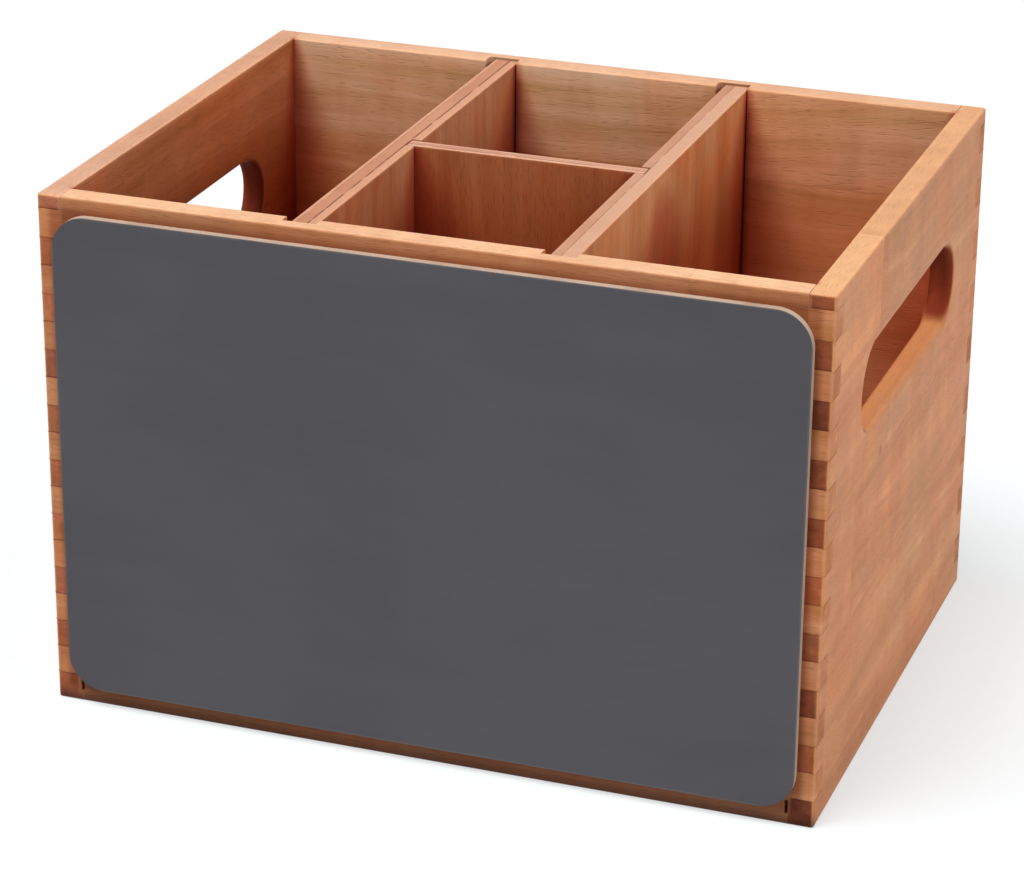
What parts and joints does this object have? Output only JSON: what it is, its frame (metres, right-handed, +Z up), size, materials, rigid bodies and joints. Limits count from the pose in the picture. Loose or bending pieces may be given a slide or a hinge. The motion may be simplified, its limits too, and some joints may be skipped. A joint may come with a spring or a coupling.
{
  "type": "utensil caddy",
  "caption": "Open-top wooden box with finger-jointed corners, a long handle hole in each side, loose dividers that make upright bays, and a dark writing panel on the front.",
  "frame": {"origin": "middle of the footprint, writing panel included, on the surface that the caddy stands on", "axes": "+X to the right seen from the front, +Y to the back, +Z up"},
  "size_m": [0.261, 0.2, 0.1776],
  "materials": {
    "box_hardwood": "oiled satin",
    "side_hardwood": "oiled satin",
    "divider_plywood": "oiled satin",
    "thin_plywood": "oiled satin",
    "panel_core": "bare cut edge",
    "writing_sheet": "matt slate"
  },
  "bodies": {
    "box": {"front_board": "box_hardwood", "back_board": "box_hardwood", "left_side_board": "side_hardwood", "right_side_board": "side_hardwood", "bottom_panel": "thin_plywood", "panel_core": "panel_core", "panel_writing_sheet": "writing_sheet"},
    "left_divider": {"left_divider": "divider_plywood"},
    "right_divider": {"right_divider": "divider_plywood"},
    "cross_divider": {"cross_divider": "thin_plywood"}
  },
  "joints": [
    {"name": "left_divider_lift", "type": "slide", "parent": "box", "child": "left_divider", "axis": [0, 0, 1], "range_m": [0, 0.18]},
    {"name": "right_divider_lift", "type": "slide", "parent": "box", "child": "right_divider", "axis": [0, 0, 1], "range_m": [0, 0.18]},
    {"name": "cross_divider_lift", "type": "slide", "parent": "box", "child": "cross_divider", "axis": [0, 0, 1], "range_m": [0, 0.18]}
  ]
}
